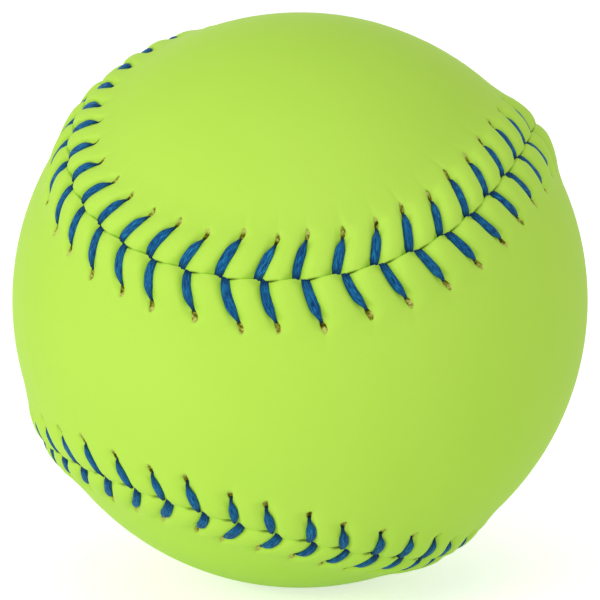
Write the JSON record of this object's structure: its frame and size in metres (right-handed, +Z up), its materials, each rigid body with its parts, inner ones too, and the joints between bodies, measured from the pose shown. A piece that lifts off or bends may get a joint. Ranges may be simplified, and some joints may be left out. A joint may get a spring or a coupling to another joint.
{
  "type": "softball",
  "caption": "Sewn ball for slow-pitch softball: a moulded foam core under two cemented figure-eight cover panels, joined by a raised seam with chevron stitching.",
  "frame": {"origin": "centre of the ball", "axes": "+Z up as the ball lies in the picture, -Y towards the picture's camera, +X to its right"},
  "size_m": [0.097, 0.0996, 0.097],
  "materials": {
    "core_foam": "matte moulded polyurethane foam",
    "cement": "dried contact cement",
    "cover_leather": "smooth satin synthetic leather",
    "waxed_thread": "waxed multi-ply thread"
  },
  "bodies": {
    "root": {"core": "core_foam", "cement_film_1": "cement", "cement_film_2": "cement", "cover_panel_1": "cover_leather", "cover_panel_2": "cover_leather", "stitching_thread_1": "waxed_thread", "stitching_thread_2": "waxed_thread"}
  },
  "joints": []
}
